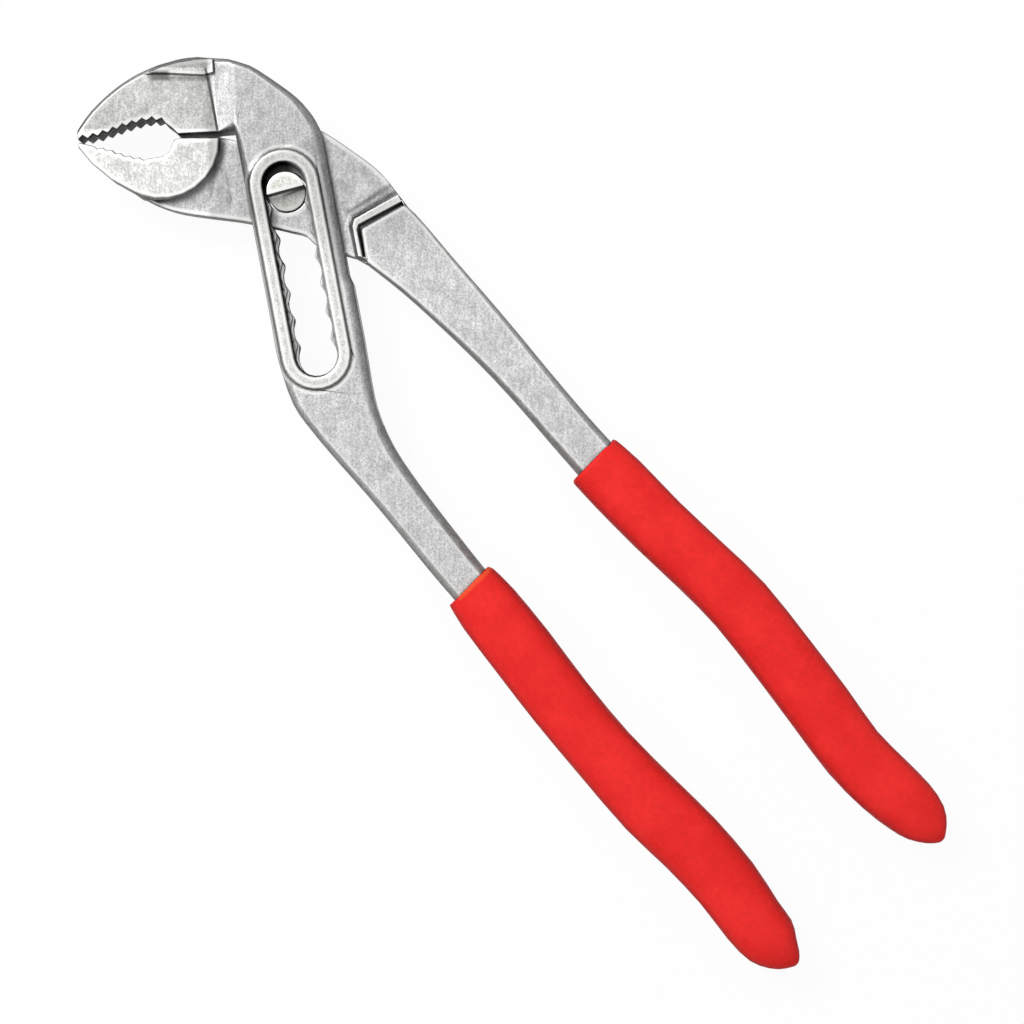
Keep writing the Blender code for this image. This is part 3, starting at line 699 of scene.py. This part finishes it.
@dataclass(frozen=True)
class ForgedSteel(Steel):
    """The arms' steel: ground jaws and rims, painted shade on the teeth and seats, painted highlight
    and shade lines round the rim, and the joint's painted shades.
    """

    name: str = Finish.FORGED.value
    face: Colour = (0.65, 0.65, 0.65)
    ground: Colour = (0.69, 0.69, 0.665)
    # The painted shade on the teeth and on the seat walls away from the lamp
    deep_shade: Colour = (0.022, 0.022, 0.021)
    # The painted shade line at the rim's foot
    line: Colour = (0.13, 0.13, 0.128)
    marks: tuple[Mark, ...] = FORGED_MARKS
    lines: tuple[RimLine, ...] = RIM_LINES
    hollow: tuple[Patch, ...] = (UNDER_UPPER, OVER_LOWER)

    # Where the ground faces begin: past a line across the jaws, and above two heights
    jaw_line: float = 12.2 * MM
    jaw_height: float = 3.9 * MM
    rim_height: float = 6.2 * MM
    line_fade: float = 0.3 * MM
    height_fade: float = 0.1 * MM

    # The slot's middle line, its half width, and where its walls turn towards the lamp, from painted
    # shade to painted light
    slot_start: float = -1.5 * MM
    slot_end: float = 37.2 * MM
    slot_side: float = 5.2 * MM
    facing_span: Span = (0.0, 3.0 * MM)

    # The deep shade above the pin
    mouth_above: Span = (0.0, -2.5 * MM)
    mouth_beside: Span = (3.5 * MM, 1.0 * MM)
    mouth_left: float = 0.10

    # The shade that the lower jaw's round cheek throws on the web
    cheek: tuple[float, float] = (-28.1, -11.1)
    cheek_turn: float = PICTURE_TURN - 45.0
    cheek_reach: float = 13.4 * MM
    cheek_fade: float = 2.0 * MM
    cheek_side: Span = (4.0 * MM, 10.0 * MM)
    web_height: Span = (3.4 * MM, 3.0 * MM)
    cheek_left: float = 0.32

    def faces(self, bench: NodeBench, place: Socket) -> Socket:
        """Gives the colour of level faces, paler where they are ground.

        Args:
            bench: The material's nodes.
            place: Object coordinates.

        Returns:
            The colour.
        """
        zone = self.zone(bench, place)
        height = bench.maths("ABSOLUTE", zone["Up"])
        beyond = bench.ramp(zone["Across"], -self.jaw_line, -self.jaw_line - self.line_fade)
        raised = bench.ramp(height, self.jaw_height, self.jaw_height + self.height_fade)
        rim = bench.ramp(height, self.rim_height, self.rim_height + self.height_fade)
        ground = bench.maths("MAXIMUM", bench.product(beyond, raised), rim)
        return bench.blend(ground, self.face, self.ground)

    def sides(self, bench: NodeBench, place: Socket) -> Socket:
        """Gives the colour of steep faces, with painted shade in the teeth and on the seat walls
        away from the lamp, and painted light on those facing it.

        Args:
            bench: The material's nodes.
            place: Object coordinates.

        Returns:
            The colour.
        """
        # Painted shade on the steep faces of the teeth
        teeth = bench.product(*(patch.mask(bench, place, self.pin) for patch in self.hollow))
        colour = bench.blend(teeth, self.side, self.deep_shade)
        # Painted shade on the seat walls that face away from the lamp, painted light on those that
        # face it
        facing = bench.ramp(self.zone(bench, place)["Across"], *self.facing_span)
        walls = bench.blend(facing, self.deep_shade, self.face)
        return bench.blend(self.slot_mask(bench, place), colour, walls)

    def drawing(self, bench: NodeBench, colour: Socket, place: Socket) -> Socket:
        """Draws the rim's painted highlight and shade lines, then the joint's painted shades.

        Args:
            bench: The material's nodes.
            colour: What lies under them.
            place: Object coordinates.

        Returns:
            The colour with them.
        """
        away = self.from_slot(bench, place)
        height = bench.maths("ABSOLUTE", self.zone(bench, place)["Up"])
        for line in self.lines:
            tint = self.bright if line.lit else self.line
            colour = bench.blend(line.mask(bench, away, height), colour, tint)
        mouth = self.mouth_mask(bench, place)
        colour = bench.blend(mouth, colour, bench.toned(colour, self.mouth_left))
        cheek = self.cheek_mask(bench, place)
        return bench.blend(cheek, colour, bench.toned(colour, self.cheek_left))

    def zone(self, bench: NodeBench, place: Socket) -> Outputs:
        """Measures places along and across the joint's slot.

        Args:
            bench: The material's nodes.
            place: Object coordinates.

        Returns:
            The outputs that give them.
        """
        return bench.group(Zone(), Vector=place, From=self.pin, Turn=radians(SLOT_TURN))

    def from_slot(self, bench: NodeBench, place: Socket) -> Socket:
        """Measures how far a place lies from the slot's middle line.

        Args:
            bench: The material's nodes.
            place: Object coordinates.

        Returns:
            The distance.
        """
        zone = self.zone(bench, place)
        return bench.group(Track(), Along=zone["Along"], Across=zone["Across"],
                           Start=self.slot_start, End=self.slot_end)["Distance"]

    def slot_mask(self, bench: NodeBench, place: Socket) -> Socket:
        """Finds what lies within the slot.

        Args:
            bench: The material's nodes.
            place: Object coordinates.

        Returns:
            1 within it, 0 outside.
        """
        away = self.from_slot(bench, place)
        return bench.ramp(away, self.slot_side, self.slot_side - self.line_fade)

    def mouth_mask(self, bench: NodeBench, place: Socket) -> Socket:
        """Finds the deep shade between the pin and the closed end of the slot.

        Args:
            bench: The material's nodes.
            place: Object coordinates.

        Returns:
            How strongly it shows.
        """
        zone = self.zone(bench, place)
        above = bench.ramp(zone["Along"], *self.mouth_above)
        beside = bench.ramp(zone["Across"], *self.mouth_beside)
        return bench.product(self.slot_mask(bench, place), above, beside)

    def cheek_mask(self, bench: NodeBench, place: Socket) -> Socket:
        """Finds the shade that the lower jaw's round cheek throws on the web.

        Args:
            bench: The material's nodes.
            place: Object coordinates.

        Returns:
            How strongly it shows.
        """
        zone = bench.group(Zone(), Vector=place, From=moved(self.pin, self.cheek),
                           Turn=radians(self.cheek_turn))
        away = bench.group(Track(), Along=zone["Along"], Across=zone["Across"],
                           Start=0.0, End=0.0)["Distance"]
        ring = bench.ramp(away, self.cheek_reach + self.cheek_fade, self.cheek_reach)
        low = bench.ramp(bench.maths("ABSOLUTE", zone["Up"]), *self.web_height)
        side = bench.ramp(zone["Along"], *self.cheek_side)
        return bench.product(ring, low, side)


@dataclass(frozen=True)
class Vinyl:
    """Dipped vinyl: soft sheen, faintly mottled, with painted shade on its steep sides and a painted
    highlight at one grip's mouth.
    """

    name: str = Finish.GRIP.value
    colour: Colour = (0.93, 0.033, 0.030)
    dark: Colour = (0.85, 0.026, 0.024)
    # The painted shade on the steep sides
    side: Colour = (0.58, 0.008, 0.008)
    # The colour of the painted highlight at the grip's mouth
    lip: Colour = (0.93, 0.13, 0.035)
    lip_highlight_patch: Patch = GRIP_LIP_HIGHLIGHT
    lip_highlight_share: float = 0.5
    grain_scale: float = 900.0
    patch_scale: float = 110.0
    bump: float = 0.30
    patch_span: Span = (0.35, 0.65)
    grain_tone: Span = (0.30, 0.70, 0.95, 1.05)
    level_span: Span = (0.25, 0.75)
    gloss_span: Span = (0.30, 0.70, 0.48, 0.60)
    sheen: float = 0.06
    pin: Place = field(kw_only=True)

    def material(self) -> bpy.types.Material:
        """Builds the material.

        Returns:
            The material.
        """
        material, bench, shader = new_material(self.name)
        coordinates = bench.add("TexCoord").outputs
        place = coordinates["Object"]
        grain = bench.group(FineGrain(), Vector=place, Grain_Scale=self.grain_scale,
                            Patch_Scale=self.patch_scale, Height=self.bump)
        relief = bench.group(Relief(), Normal=coordinates["Normal"])

        patch = bench.ramp(grain["Patches"], *self.patch_span)
        colour = bench.blend(patch, self.dark, self.colour)
        colour = bench.toned(colour, bench.ramp(grain["Grain"], *self.grain_tone))
        # Painted shade on the steep sides
        colour = bench.blend(bench.ramp(relief["Level"], *self.level_span), self.side, colour)
        # Painted highlight at the mouth of the box arm's grip
        lip = bench.product(self.lip_highlight_patch.mask(bench, place, self.pin), self.lip_highlight_share)
        colour = bench.blend(lip, colour, self.lip)

        gloss = bench.ramp(grain["Patches"], *self.gloss_span)
        bench.feed(shader, Specular_IOR_Level=self.sheen)
        bench.feed(shader, Base_Color=colour, Roughness=gloss, Normal=grain["Normal"])
        return material


@dataclass
class Carried:
    """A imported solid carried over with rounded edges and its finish. Its angles are in degrees."""

    node: str
    body: str
    finish: Finish
    edge: float = 0.18 * MM
    segments: int = 2
    sharp: float = 30.0
    smooth: float = 40.0
    broad: int = 90
    merge: float = 0.002 * MM
    packed_keys: tuple[str, ...] = ("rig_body", "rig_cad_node")

    def build(self, material: bpy.types.Material) -> bpy.types.Object:
        """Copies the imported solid, shapes and dresses it.

        Args:
            material: The finish.

        Returns:
            The finished piece.
        """
        piece = self.copy_solid()
        self.weigh_edges(piece)
        self.round_edges(piece)
        piece.data.materials.clear()
        piece.data.materials.append(material)
        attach(piece, self.body)
        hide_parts(self.node)
        return piece

    def copy_solid(self) -> bpy.types.Object:
        """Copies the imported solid, merges its loose triangles and leaves it picked.

        Returns:
            The copy.
        """
        source = frame["nodes"][self.node]
        piece = source.copy()
        piece.data = source.data.copy()
        piece.name = f"{self.node}_finished"
        for key in self.packed_keys:
            if key in piece:
                del piece[key]
        piece.parent = None
        bpy.context.scene.collection.objects.link(piece)
        pick(piece)
        bpy.ops.object.mode_set(mode="EDIT")
        bpy.ops.mesh.select_all(action="SELECT")
        bpy.ops.mesh.remove_doubles(threshold=self.merge)
        bpy.ops.mesh.normals_make_consistent(inside=False)
        bpy.ops.object.mode_set(mode="OBJECT")
        return piece

    def weigh_edges(self, piece: bpy.types.Object) -> None:
        """Marks the outward edges that are sharp enough to be rounded.

        Args:
            piece: The piece.
        """
        mesh = bmesh.new()
        mesh.from_mesh(piece.data)
        weight = mesh.edges.layers.float.new("bevel_weight_edge")
        for edge in mesh.edges:
            if edge.is_manifold and edge.calc_face_angle_signed() > radians(self.sharp):
                edge[weight] = 1.0
        mesh.to_mesh(piece.data)
        mesh.free()

    def round_edges(self, piece: bpy.types.Object) -> None:
        """Rounds the marked edges and lets the broad faces set the shading.

        Args:
            piece: The piece, which is picked.
        """
        bevel = piece.modifiers.new("rounded_edges", "BEVEL")
        bevel.width = self.edge
        bevel.segments = self.segments
        bevel.limit_method = "WEIGHT"
        bevel.use_clamp_overlap = False
        bpy.ops.object.modifier_apply(modifier=bevel.name)
        bpy.ops.object.shade_smooth_by_angle(angle=radians(self.smooth))
        broad = piece.modifiers.new("broad_faces", "WEIGHTED_NORMAL")
        broad.mode = "FACE_AREA_WITH_ANGLE"
        broad.weight = self.broad
        broad.keep_sharp = True
        bpy.ops.object.modifier_apply(modifier=broad.name)


@dataclass
class DippedArm:
    """One forged arm with its jaw, and the vinyl dipped over its handle."""

    body: str
    steel: str
    grip: str
    lip: float = 0.3 * MM
    lip_segments: int = 3

    def build(self, finishes: dict[Finish, bpy.types.Material]) -> list[bpy.types.Object]:
        """Builds the arm and its grip.

        Args:
            finishes: The material of each finish.

        Returns:
            The finished pieces.
        """
        arm = Carried(self.steel, self.body, Finish.FORGED)
        grip = Carried(self.grip, self.body, Finish.GRIP, self.lip, self.lip_segments)
        return [piece.build(finishes[piece.finish]) for piece in (arm, grip)]


@dataclass
class SlottedArm(DippedArm):
    """The arm whose two cheeks and seated slot hold the other, with the upper jaw."""

    body: str = "box_arm"
    steel: str = "box_arm"
    grip: str = "box_arm_grip"


@dataclass
class WebArm(DippedArm):
    """The arm whose thin web passes between the cheeks, with the lower jaw."""

    body: str = "inner_arm"
    steel: str = "inner_arm"
    grip: str = "inner_arm_grip"


@dataclass
class HalfMoonPin:
    """The flatted pin that drops into one seat of the slot."""

    body: str = "pin"
    steel: str = "pivot_pin"
    edge: float = 0.15 * MM

    def build(self, finishes: dict[Finish, bpy.types.Material]) -> list[bpy.types.Object]:
        """Builds the pin.

        Args:
            finishes: The material of each finish.

        Returns:
            The finished piece.
        """
        pin = Carried(self.steel, self.body, Finish.PIN, self.edge)
        return [pin.build(finishes[pin.finish])]


@dataclass
class WaterPumpPliers:
    """The whole tool."""

    parts: tuple[DippedArm | HalfMoonPin, ...] = (SlottedArm(), WebArm(), HalfMoonPin())

    def finishes(self) -> dict[Finish, bpy.types.Material]:
        """Builds the materials, whose patches are all placed from the pin.

        Returns:
            The material of each finish.
        """
        pin = middle_of(HalfMoonPin.steel)
        return {
            Finish.FORGED: ForgedSteel(pin=pin).material(),
            Finish.PIN: PinSteel(pin=pin).material(),
            Finish.GRIP: Vinyl(pin=pin).material(),
        }

    def build(self) -> None:
        """Builds every part and reports its pieces."""
        finishes = self.finishes()
        for part in self.parts:
            for piece in part.build(finishes):
                faces = len(piece.data.polygons)
                LOG.info("%s: %s, %d faces", type(part).__name__, piece.name, faces)


@dataclass
class Studio:
    """Camera, lamp, surroundings and floor, in metres and watts."""

    middle: tuple[float, float] = (0.0047, 0.0007)
    height: float = 0.5795
    lens: float = 89.68
    sensor: float = 36.0
    lamp_offset: Place = (-0.75, 0.75, 1.05)
    lamp_size: float = 0.45
    lamp_power: float = 15.0
    sky_span: Span = (0.50, 0.97)
    sky_low: float = 0.14
    sky_high: float = 0.95
    floor_size: float = 6.0
    floor_gap: float = 0.05 * MM
    floor_colour: Colour = (0.90, 0.90, 0.90)
    floor_roughness: float = 0.9
    glow_share: float = 0.95

    def add_camera(self) -> None:
        """Places the camera straight above the tool."""
        data = bpy.data.cameras.new("camera")
        data.lens = self.lens
        data.sensor_width = self.sensor
        camera = bpy.data.objects.new("camera", data)
        camera.location = (*self.middle, self.height)
        camera.rotation_euler = (0.0, 0.0, radians(PICTURE_TURN))
        bpy.context.scene.collection.objects.link(camera)
        bpy.context.scene.camera = camera

    def add_lamp(self) -> None:
        """Adds one soft lamp up and left in the picture, aimed at the tool."""
        data = bpy.data.lights.new("key_lamp", "AREA")
        data.size = self.lamp_size
        data.energy = self.lamp_power
        lamp = bpy.data.objects.new("key_lamp", data)
        offset = Vector(self.lamp_offset)
        offset.rotate(bpy.context.scene.camera.rotation_euler)
        centre = Vector((*self.middle, 0.0))
        lamp.location = centre + offset
        lamp.rotation_euler = (centre - lamp.location).to_track_quat("-Z", "Y").to_euler()
        lamp.visible_camera = False
        bpy.context.scene.collection.objects.link(lamp)

    def add_world(self) -> None:
        """Adds pale surroundings that are brighter above than at the horizon."""
        world = bpy.data.worlds.new("studio")
        bpy.context.scene.world = world
        world.use_nodes = True
        bench = NodeBench(world.node_tree)
        way = bench.add("TexCoord").outputs["Generated"]
        split = bench.feed(bench.add("SeparateXYZ"), Vector=way)
        span = (*self.sky_span, self.sky_low, self.sky_high)
        strength = bench.ramp(split.outputs["Z"], *span)
        bench.feed(bench.tree.nodes["Background"], Color=WHITE, Strength=strength)

    def add_floor(self) -> None:
        """Adds a plain pale floor, white to the camera and to mirrored and clear rays."""
        clear_selection()
        place = (0.0, 0.0, -self.floor_gap)
        bpy.ops.mesh.primitive_plane_add(size=self.floor_size, location=place)
        floor = bpy.context.object
        floor.name = "floor"
        material, bench, shader = new_material("pale_floor")
        bench.feed(shader, Base_Color=self.floor_colour, Roughness=self.floor_roughness)
        path = bench.add("LightPath").outputs
        seen = bench.maths("MAXIMUM", path["Is Camera Ray"], path["Is Glossy Ray"])
        seen = bench.maths("MAXIMUM", seen, path["Is Transmission Ray"])
        share = bench.product(seen, self.glow_share)
        glow = bench.feed(bench.add("Emission"), Color=WHITE, Strength=1.0)
        mix = bench.add("MixShader")
        layers = (share, shader.outputs["BSDF"], glow.outputs["Emission"])
        for socket, given in zip(mix.inputs, layers):
            bench.join(given, socket)
        bench.feed(bench.tree.nodes["Material Output"], Surface=mix.outputs["Shader"])
        floor.data.materials.append(material)

    def build(self) -> None:
        """Sets up the whole studio."""
        bpy.context.scene.view_settings.view_transform = "Standard"
        self.add_camera()
        self.add_lamp()
        self.add_world()
        self.add_floor()


def main() -> None:
    """Builds the studio and every piece, and reports them."""
    logging.basicConfig(level=logging.INFO, format="%(message)s")
    Studio().build()
    WaterPumpPliers().build()


if __name__ == "__main__":
    main()
